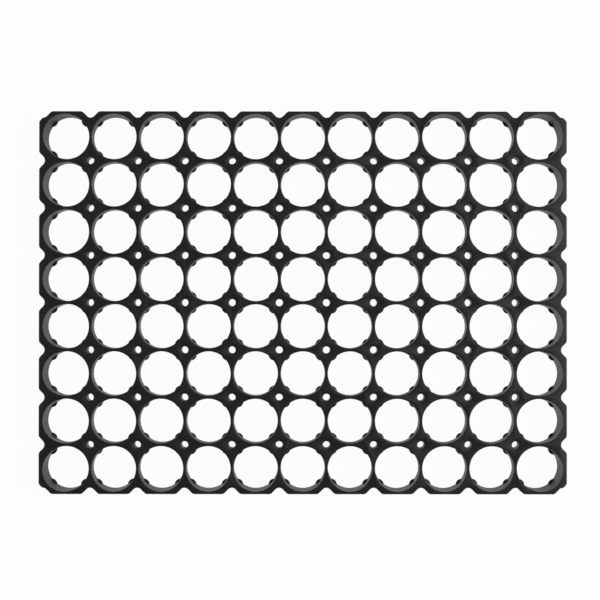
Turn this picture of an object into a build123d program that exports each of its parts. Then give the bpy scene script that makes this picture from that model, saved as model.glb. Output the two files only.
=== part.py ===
from build123d import *
import os
from math import cos, pi, sin, sqrt, tan

# Cell holder frame for 88 cylindrical 18650 cells, moulded in one piece.
# It lies flat: X runs along a row of eleven sockets, Y along a column of eight,
# and Z points out of the face that the cells go in by. The underside is at z = 0,
# and the origin is at the middle of the outline.

# Sockets. Each is a straight bore with four stop lugs at its lower end.
column_count = 11
row_count = 8
cell_diameter = 18.4
cell_clearance = 0.1
column_web = 1.1
row_web = 1.15
socket_sides = 24

# The frame round the sockets.
frame_thickness = 8.0
side_margin = 1.7
end_margin = 0.8

# Stop lugs, which keep a cell from dropping through.
lug_count = 4
first_lug_angle = 45
lug_thickness = 1.0
lug_reach = 0.8

# Screw holes in the solid corners between four sockets.
screw_hole_diameter = 3.0
plain_hole_sides = 6

# Notches in the border, in line with the webs between the sockets. The last ones cut the corners.
# Their flanks stand at 45 degrees, and root_turns are the corners of the round root.
side_notch_depth = 2.35
side_notch_root_radius = 2.4
end_notch_depth = 2.65
end_notch_root_radius = 2.0
notch_shoulder_radius = 1.6
root_turns = (pi / 12, pi / 4)

socket_diameter = cell_diameter + cell_clearance
socket_radius = socket_diameter / 2
column_pitch = socket_diameter + column_web
row_pitch = socket_diameter + row_web
frame_length = column_count * column_pitch + 2 * side_margin
frame_width = row_count * row_pitch + 2 * end_margin


def socket_cutter():
    """The room inside one socket: the bore, less its stop lugs."""
    half_flat = socket_radius * tan(pi / socket_sides)
    lug_base = [(socket_radius, half_flat), (socket_radius, -half_flat)]
    lug_outline = Polyline((socket_radius - lug_reach, 0), *lug_base, close=True)
    lug = extrude(make_face(lug_outline), lug_thickness)
    bore_outline = RegularPolygon(
        socket_radius, socket_sides, major_radius=False, rotation=180 / socket_sides
    )
    bore = extrude(bore_outline, frame_thickness)
    return bore - PolarLocations(0, lug_count, start_angle=first_lug_angle) * lug


def notch_cutter(depth, root_radius):
    """One border notch, open towards +Y, with the frame's edge on the X axis."""
    root_centre = root_radius - depth
    mouth = depth + (sqrt(2) - 1) * root_radius
    shoulder = notch_shoulder_radius * tan(pi / 8)
    right_side = [(root_radius * sin(turn), root_centre - root_radius * cos(turn)) for turn in root_turns]
    right_side.append((mouth - shoulder * cos(pi / 4), -shoulder * sin(pi / 4)))
    right_side.append((mouth + shoulder, 0))
    right_side.append((mouth + shoulder, depth))
    left_side = [(-x, y) for x, y in reversed(right_side)]
    return extrude(make_face(Polyline(*right_side, *left_side, close=True)), frame_thickness)


def edge_notches(notch, socket_count, pitch, edge, turn):
    """Notches along one side of the frame, in line with the webs between its sockets."""
    first = -socket_count / 2 * pitch
    places = [Pos(first + index * pitch, edge) for index in range(socket_count + 1)]
    return [Rot(0, 0, turn) * place * notch for place in places]


def screw_hole_cutters():
    """Round holes at the four outer corners, where the frame is fixed, and plain ones elsewhere."""
    round_hole = extrude(Circle(screw_hole_diameter / 2), frame_thickness)
    plain_outline = RegularPolygon(screw_hole_diameter / 2, plain_hole_sides, major_radius=False)
    plain_hole = extrude(plain_outline, frame_thickness)
    last_column = column_count - 2
    last_row = row_count - 2
    cutters = []
    for column in range(last_column + 1):
        for row in range(last_row + 1):
            at_corner = column in (0, last_column) and row in (0, last_row)
            hole = round_hole if at_corner else plain_hole
            place = Pos((column - last_column / 2) * column_pitch, (row - last_row / 2) * row_pitch)
            cutters.append(place * hole)
    return cutters


plate = extrude(Rectangle(frame_length, frame_width), frame_thickness)
end_notch = notch_cutter(end_notch_depth, end_notch_root_radius)
side_notch = notch_cutter(side_notch_depth, side_notch_root_radius)
notches = []
for turn in (0, 180):
    notches += edge_notches(end_notch, column_count, column_pitch, frame_width / 2, turn)
for turn in (90, 270):
    notches += edge_notches(side_notch, row_count, row_pitch, frame_length / 2, turn)

socket_places = GridLocations(column_pitch, row_pitch, column_count, row_count)
sockets = [place * socket_cutter() for place in socket_places]
cell_holder_frame = plate - notches - sockets - screw_hole_cutters()

os.makedirs("parts", exist_ok=True)
export_step(cell_holder_frame, "parts/cell_holder_frame.step")
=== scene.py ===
from math import cos, pi, radians, sin, tan

import bpy
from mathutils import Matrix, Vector


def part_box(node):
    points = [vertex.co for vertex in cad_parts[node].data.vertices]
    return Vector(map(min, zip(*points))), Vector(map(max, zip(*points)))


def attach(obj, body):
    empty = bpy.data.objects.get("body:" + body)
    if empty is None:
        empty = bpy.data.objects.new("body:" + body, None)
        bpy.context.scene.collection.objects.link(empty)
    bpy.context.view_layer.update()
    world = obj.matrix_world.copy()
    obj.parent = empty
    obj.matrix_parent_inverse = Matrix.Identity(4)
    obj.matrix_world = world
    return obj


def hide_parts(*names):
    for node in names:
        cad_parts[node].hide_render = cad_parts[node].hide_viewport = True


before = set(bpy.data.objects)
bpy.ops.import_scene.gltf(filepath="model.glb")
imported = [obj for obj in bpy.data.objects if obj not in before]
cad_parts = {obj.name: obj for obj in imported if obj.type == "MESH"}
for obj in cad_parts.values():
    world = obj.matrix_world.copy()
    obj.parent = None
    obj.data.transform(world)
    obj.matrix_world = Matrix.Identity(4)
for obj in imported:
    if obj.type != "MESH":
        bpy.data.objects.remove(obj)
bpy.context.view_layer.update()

MM = 0.001


# ---------------------------------------------------------------------------
# Frame blank. The holder is one injection moulding in black ABS, and this is
# its outer block: a flat slab with V-shaped notches round the border, whose
# roots, shoulders and rims are all rounded as the mould leaves them.
# ---------------------------------------------------------------------------

FRAME_LOW, FRAME_HIGH = (Vector(corner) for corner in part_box("cell_holder_frame"))
THICKNESS = FRAME_HIGH.z - FRAME_LOW.z
COLUMNS = 11
ROWS = 8
COLUMN_PITCH = 19.6 * MM
ROW_PITCH = 19.65 * MM
END_NOTCH_DEPTH = 2.65 * MM
END_NOTCH_ROOT = 2.0 * MM
SIDE_NOTCH_DEPTH = 2.35 * MM
SIDE_NOTCH_ROOT = 2.4 * MM
NOTCH_SHOULDER = 1.6 * MM
RIM_RADIUS = 0.25 * MM
NOTCH_FLARE = 6 * MM
ROOT_SIDES = 64
SAME_PLACE = 0.01 * MM


def make_active(obj):
    """Leaves obj as the only selected object, and the active one."""
    bpy.ops.object.select_all(action="DESELECT")
    bpy.context.view_layer.objects.active = obj
    obj.select_set(True)


def open_in_edit(obj, kind, test):
    """Opens obj in edit mode with the vertices, edges or faces that pass the test selected."""
    make_active(obj)
    bpy.ops.object.mode_set(mode="EDIT")
    bpy.ops.mesh.select_mode(type=kind)
    bpy.ops.mesh.select_all(action="DESELECT")
    bpy.ops.object.mode_set(mode="OBJECT")
    points = [vertex.co for vertex in obj.data.vertices]
    if kind == "VERT":
        for vertex in obj.data.vertices:
            vertex.select = test(vertex.co)
    elif kind == "EDGE":
        for edge in obj.data.edges:
            edge.select = test(*(points[index] for index in edge.vertices))
    else:
        for face in obj.data.polygons:
            face.select = test(face.center, face.normal)
    bpy.ops.object.mode_set(mode="EDIT")


def close_edit():
    """Back to object mode, with the outside of every shell facing out."""
    bpy.ops.mesh.select_all(action="SELECT")
    bpy.ops.mesh.normals_make_consistent(inside=False)
    bpy.ops.object.mode_set(mode="OBJECT")


def settle(obj):
    """Puts obj's place, turn and size into its mesh."""
    make_active(obj)
    bpy.ops.object.transform_apply(location=True, rotation=True, scale=True)


def combine(body, other, operation):
    """Works one closed mesh into another and throws the second away."""
    made = body.modifiers.new("combine", "BOOLEAN")
    made.operation = operation
    made.solver = "EXACT"
    made.object = other
    make_active(body)
    bpy.ops.object.modifier_apply(modifier=made.name)
    bpy.data.objects.remove(other)


def subtract(body, cutter):
    """Cuts one closed mesh out of another."""
    combine(body, cutter, "DIFFERENCE")


def repeat(obj, step, count):
    """Copies obj in a row, starting where it stands."""
    make_active(obj)
    row = obj.modifiers.new("row", "ARRAY")
    row.use_relative_offset = False
    row.use_constant_offset = True
    row.constant_offset_displace = step
    row.count = count
    bpy.ops.object.modifier_apply(modifier=row.name)


def cut_notches(body, depth, root_radius, pitch, count, edge, turn):
    """Cuts a row of notches along one side, laid out as if it faced +Y and then turned."""
    first = -(count - 1) / 2 * pitch
    root_y = edge - depth + root_radius
    flank_y = root_y - root_radius * sin(pi / 4)
    flank_x = root_radius * cos(pi / 4)

    bpy.ops.object.select_all(action="DESELECT")
    bpy.ops.mesh.primitive_cylinder_add(
        vertices=ROOT_SIDES, radius=root_radius, depth=3 * THICKNESS,
        location=(first, root_y, THICKNESS / 2))
    root = bpy.context.active_object
    settle(root)

    bpy.ops.object.select_all(action="DESELECT")
    bpy.ops.mesh.primitive_cube_add(
        size=1, location=(first, flank_y + NOTCH_FLARE / 2, THICKNESS / 2),
        scale=(2 * flank_x, NOTCH_FLARE, 3 * THICKNESS))
    flanks = bpy.context.active_object
    settle(flanks)
    open_in_edit(flanks, "FACE", lambda centre, normal: normal.y > 0.9)
    bpy.ops.transform.resize(value=((flank_x + NOTCH_FLARE) / flank_x, 1, 1))
    close_edit()

    for cutter in (root, flanks):
        repeat(cutter, (pitch, 0, 0), count)
        cutter.rotation_euler.z = turn
        settle(cutter)
        subtract(body, cutter)


def is_upright(a, b):
    """True for an edge that runs the whole height of the slab."""
    return abs(a.z - b.z) > 0.9 * THICKNESS


def on_shoulder(a, b):
    """True for the upright edges where a notch meets a straight stretch of border."""
    at_side = abs(abs(a.x) - FRAME_HIGH.x) < SAME_PLACE
    at_end = abs(abs(a.y) - FRAME_HIGH.y) < SAME_PLACE
    return is_upright(a, b) and (at_side or at_end)


bpy.ops.object.select_all(action="DESELECT")
bpy.ops.mesh.primitive_cube_add(
    size=1, location=(FRAME_LOW + FRAME_HIGH) / 2, scale=FRAME_HIGH - FRAME_LOW)
holder = bpy.context.active_object
holder.name = "holder_moulding"
settle(holder)
for turn in (0, pi):
    cut_notches(holder, END_NOTCH_DEPTH, END_NOTCH_ROOT, COLUMN_PITCH, COLUMNS + 1, FRAME_HIGH.y, turn)
for turn in (pi / 2, -pi / 2):
    cut_notches(holder, SIDE_NOTCH_DEPTH, SIDE_NOTCH_ROOT, ROW_PITCH, ROWS + 1, FRAME_HIGH.x, turn)

open_in_edit(holder, "EDGE", on_shoulder)
bpy.ops.mesh.bevel(
    offset=NOTCH_SHOULDER * tan(pi / 8), offset_type="OFFSET", segments=6, affect="EDGES")
close_edit()
open_in_edit(holder, "EDGE", lambda a, b: abs(a.z - b.z) < SAME_PLACE)
bpy.ops.mesh.bevel(offset=RIM_RADIUS, offset_type="OFFSET", segments=3, affect="EDGES")
close_edit()


# ---------------------------------------------------------------------------
# Cell sockets. Each is a round well with a little draft, a softened mouth and
# four rounded stop lugs at the underside, all left by one core of the tool.
# Round the border the outer wall is one slope, and its lugs stand further in.
# ---------------------------------------------------------------------------

SOCKET_RADIUS = 9.25 * MM
DRAFT = 0.13 * MM
MOUTH_ROUND = 0.2 * MM
TOP_OVERCUT = 0.01 * MM
LUG_RADIUS = 2.5 * MM
LUG_CENTRE = 10.95 * MM
LUG_THICKNESS = 1.0 * MM
LUG_ROUND = 0.12 * MM
RELIEF_RADIUS = 9.0 * MM
SIDE_RELIEF = 0.7 * MM
END_RELIEF = 0.35 * MM
SIDE_FOOT = 0.55 * MM
END_FOOT = 0.38 * MM
FOOT_HEIGHT = 3.5 * MM
FOOT_SPARE = 0.1 * MM
FOOT_BLOCK_RADIUS = 11 * MM
SOCKET_SIDES = 72
LUG_SIDES = 48
LUG_COUNT = 4


def turned_solid(profile, sides, x, y, lean=(0, 0)):
    """A round solid raised ring by ring from a filled circle, from pairs of height and radius.

    Its axis may lean, by so much along X and Y for each unit of height.
    """
    height, radius = profile[0]
    bpy.ops.object.select_all(action="DESELECT")
    bpy.ops.mesh.primitive_circle_add(
        vertices=sides, radius=radius, fill_type="NGON", location=(x, y, height))
    solid = bpy.context.active_object
    bpy.ops.object.mode_set(mode="EDIT")
    bpy.ops.mesh.select_all(action="SELECT")
    for next_height, next_radius in profile[1:]:
        rise = next_height - height
        bpy.ops.mesh.extrude_region_move(
            TRANSFORM_OT_translate={"value": (lean[0] * rise, lean[1] * rise, rise)})
        growth = next_radius / radius
        bpy.ops.transform.resize(value=(growth, growth, 1))
        height, radius = next_height, next_radius
    close_edit()
    settle(solid)
    return solid


def rounded_mouth(radius, top, rounding, steps):
    """Pairs of height and radius that open a bore out to a flat top in a quarter round."""
    turns = [index * pi / 2 / steps for index in range(steps + 1)]
    return [(top - rounding * (1 - sin(turn)), radius + rounding * (1 - cos(turn))) for turn in turns]


first_x = -(COLUMNS - 1) / 2 * COLUMN_PITCH
first_y = -(ROWS - 1) / 2 * ROW_PITCH
# The mouth's last ring stands just above the slab, because a ring in its top face cuts badly.
mouth = rounded_mouth(SOCKET_RADIUS, THICKNESS + TOP_OVERCUT, MOUTH_ROUND, 3)
well_profile = [(-1 * MM, SOCKET_RADIUS - DRAFT), (0.5 * LUG_THICKNESS, SOCKET_RADIUS - DRAFT)]
well_profile += mouth
well_profile += [(THICKNESS + 1 * MM, SOCKET_RADIUS + MOUTH_ROUND)]
lug_profile = [(-2.5 * MM, LUG_RADIUS), (LUG_THICKNESS - LUG_ROUND, LUG_RADIUS)]
lug_profile += [(LUG_THICKNESS - 0.3 * LUG_ROUND, LUG_RADIUS - 0.3 * LUG_ROUND)]
lug_profile += [(LUG_THICKNESS + TOP_OVERCUT, LUG_RADIUS - LUG_ROUND)]


def outer_relief(x, y, out_x, out_y):
    """The leaning cut that slopes the upper part of a border socket's outer wall."""
    spare = SOCKET_RADIUS - RELIEF_RADIUS
    start = FOOT_HEIGHT - 1 * MM
    height = THICKNESS - start
    lean = (out_x * (SIDE_RELIEF + spare) / height, out_y * (END_RELIEF + spare) / height)
    profile = [(start, RELIEF_RADIUS), (THICKNESS + 1.5 * MM, RELIEF_RADIUS)]
    return turned_solid(profile, SOCKET_SIDES, x, y, lean)


def wall_foot(x, y, out_x, out_y):
    """The crescent of plastic that carries a border socket's sloping wall on down to its foot."""
    block = [(-2 * MM, FOOT_BLOCK_RADIUS), (FOOT_HEIGHT, FOOT_BLOCK_RADIUS)]
    foot = turned_solid(block, SOCKET_SIDES, x, y)
    in_x = -out_x * (SIDE_FOOT + FOOT_SPARE)
    in_y = -out_y * (END_FOOT + FOOT_SPARE)
    lean = (-in_x / FOOT_HEIGHT, -in_y / FOOT_HEIGHT)
    low = -3 * MM
    room_radius = SOCKET_RADIUS - DRAFT + FOOT_SPARE
    profile = [(low, room_radius), (FOOT_HEIGHT + 1 * MM, room_radius)]
    low_x = x + in_x + lean[0] * low
    low_y = y + in_y + lean[1] * low
    subtract(foot, turned_solid(profile, SOCKET_SIDES, low_x, low_y, lean))
    return foot


def socket_well(x, y, out_x, out_y):
    """The room inside one socket. out_x and out_y point to the border that it stands at, if any."""
    well = turned_solid(well_profile, SOCKET_SIDES, x, y)
    if out_x or out_y:
        combine(well, outer_relief(x, y, out_x, out_y), "UNION")
        subtract(well, wall_foot(x, y, out_x, out_y))
    for index in range(LUG_COUNT):
        turn = pi / 4 + index * 2 * pi / LUG_COUNT
        lug_x = x + LUG_CENTRE * cos(turn)
        lug_y = y + LUG_CENTRE * sin(turn)
        if out_x * cos(turn) > 0:
            lug_x -= out_x * SIDE_FOOT
        if out_y * sin(turn) > 0:
            lug_y -= out_y * END_FOOT
        subtract(well, turned_solid(lug_profile, LUG_SIDES, lug_x, lug_y))
    return well


for out_x, column, across in ((-1, 0, 1), (0, 1, COLUMNS - 2), (1, COLUMNS - 1, 1)):
    for out_y, row, up in ((-1, 0, 1), (0, 1, ROWS - 2), (1, ROWS - 1, 1)):
        wells = socket_well(first_x + column * COLUMN_PITCH, first_y + row * ROW_PITCH, out_x, out_y)
        repeat(wells, (COLUMN_PITCH, 0, 0), across)
        repeat(wells, (0, ROW_PITCH, 0), up)
        subtract(holder, wells)


# ---------------------------------------------------------------------------
# Screw holes. A plain round hole goes down through every solid corner between
# four sockets, cored by pins in the same tool, with a shallow dish at its mouth.
# ---------------------------------------------------------------------------

SCREW_RADIUS = 1.5 * MM
DISH_RADIUS = 2.6 * MM
DISH_DEPTH = 0.3 * MM
SCREW_SIDES = 40
SMOOTH_ANGLE = radians(35)

dish_slope = (DISH_RADIUS - SCREW_RADIUS) / DISH_DEPTH
screw_profile = [
    (-1 * MM, SCREW_RADIUS),
    (THICKNESS - DISH_DEPTH, SCREW_RADIUS),
    (THICKNESS + 0.1 * MM, DISH_RADIUS + 0.1 * MM * dish_slope),
]
screws = turned_solid(screw_profile, SCREW_SIDES, first_x + COLUMN_PITCH / 2, first_y + ROW_PITCH / 2)
repeat(screws, (COLUMN_PITCH, 0, 0), COLUMNS - 1)
repeat(screws, (0, ROW_PITCH, 0), ROWS - 1)
subtract(holder, screws)

make_active(holder)
bpy.ops.object.shade_smooth_by_angle(angle=SMOOTH_ANGLE)


# ---------------------------------------------------------------------------
# Black plastic. The moulding comes out of a lightly blasted tool: a satin
# black with a very fine grain and faint flow streaks in its gloss.
# ---------------------------------------------------------------------------


class Socket:
    """One output of a shader node, on which sums can be written as plain arithmetic."""

    def __init__(self, material, output):
        self.material = material
        self.output = output

    def sum_with(self, operation, first, second):
        settings = {"operation": operation}
        return self.material.node("ShaderNodeMath", settings, {0: first, 1: second})

    def __add__(self, other):
        return self.sum_with("ADD", self, other)

    def __radd__(self, other):
        return self.sum_with("ADD", other, self)

    def __mul__(self, other):
        return self.sum_with("MULTIPLY", self, other)

    def __rmul__(self, other):
        return self.sum_with("MULTIPLY", other, self)


class Material:
    """A material whose nodes are added one call at a time."""

    def __init__(self, name):
        self.data = bpy.data.materials.new(name)
        self.data.use_nodes = True
        self.tree = self.data.node_tree
        self.tree.nodes.clear()

    def node(self, kind, settings=None, values=None, output=0):
        """Adds a node: its settings first, then the value or link of each socket."""
        made = self.tree.nodes.new(kind)
        for name, value in (settings or {}).items():
            setattr(made, name, value)
        for name, value in (values or {}).items():
            if isinstance(value, Socket):
                self.tree.links.new(value.output, made.inputs[name])
            else:
                made.inputs[name].default_value = value
        return Socket(self, made.outputs[output]) if made.outputs else made


plastic = Material("black_plastic")
place = plastic.node("ShaderNodeTexCoord", output="Object")
grain = plastic.node(
    "ShaderNodeTexNoise", {}, {"Vector": place, "Scale": 2600.0, "Detail": 3.0, "Roughness": 0.6})
streaks = plastic.node(
    "ShaderNodeTexNoise", {}, {"Vector": place, "Scale": 45.0, "Detail": 4.0, "Roughness": 0.55})
bump = plastic.node(
    "ShaderNodeBump", {}, {"Height": grain, "Strength": 0.25, "Distance": 0.02 * MM})
surface = plastic.node(
    "ShaderNodeBsdfPrincipled",
    {},
    {
        "Base Color": (0.007, 0.007, 0.008, 1.0),
        "Roughness": 0.46 + 0.08 * streaks,
        "Normal": bump,
        "IOR": 1.5,
    },
)
plastic.node("ShaderNodeOutputMaterial", {}, {"Surface": surface})
holder.data.materials.clear()
holder.data.materials.append(plastic.data)

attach(holder, "root")
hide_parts("cell_holder_frame")


# ---------------------------------------------------------------------------
# Floor, lights and camera. A white sheet just under the frame, a soft light high
# on the right, a stronger one lower down on each side, and a long lens that
# looks down from almost straight above.
# ---------------------------------------------------------------------------

bpy.ops.object.select_all(action="DESELECT")
bpy.ops.mesh.primitive_plane_add(size=6, location=(0, 0, -0.02 * MM))
floor = bpy.context.active_object
floor.name = "floor"
paper = Material("white_sheet")
matte = paper.node("ShaderNodeBsdfDiffuse", {}, {"Color": (0.8, 0.8, 0.8, 1.0)})
glow = paper.node("ShaderNodeEmission", {}, {"Color": (1.0, 1.0, 1.0, 1.0), "Strength": 1.0})
by_camera = paper.node("ShaderNodeLightPath", output="Is Camera Ray")
by_gloss = paper.node("ShaderNodeLightPath", output="Is Glossy Ray")
through_glass = paper.node("ShaderNodeLightPath", output="Is Transmission Ray")
seen = by_camera + by_gloss + through_glass
mixed = paper.node("ShaderNodeMixShader", {}, {"Fac": 0.96 * seen, 1: matte, 2: glow})
paper.node("ShaderNodeOutputMaterial", {}, {"Surface": mixed})
floor.data.materials.append(paper.data)

world = bpy.data.worlds.new("studio")
bpy.context.scene.world = world
world.use_nodes = True
world.node_tree.nodes["Background"].inputs["Color"].default_value = (1.0, 1.0, 1.0, 1.0)
world.node_tree.nodes["Background"].inputs["Strength"].default_value = 0.1


def soft_light(name, place, aim, size, power):
    """A square softbox at a place, facing the aim point."""
    data = bpy.data.lights.new(name, "AREA")
    data.size = size
    data.energy = power
    lamp = bpy.data.objects.new(name, data)
    lamp.location = place
    lamp.rotation_euler = (Vector(aim) - Vector(place)).to_track_quat("-Z", "Y").to_euler()
    bpy.context.collection.objects.link(lamp)


soft_light("overhead", (0.75, 0.3, 1.15), (0, 0, 0), 0.8, 4.5)
soft_light("right_side", (1.2, -0.1, 0.7), (0, 0, 0), 0.8, 10.0)
soft_light("left_side", (-1.2, 0.1, 0.6), (0, 0, 0), 0.8, 5.0)

lens = bpy.data.cameras.new("camera")
lens.lens = 102.6
lens.sensor_width = 36.0
camera = bpy.data.objects.new("camera", lens)
camera.location = (-2.0 * MM, -4.3 * MM, 717 * MM)
camera.rotation_euler = (0.00761, -0.00113, 0.00084)
bpy.context.collection.objects.link(camera)
bpy.context.scene.camera = camera
bpy.context.scene.view_settings.view_transform = "Standard"
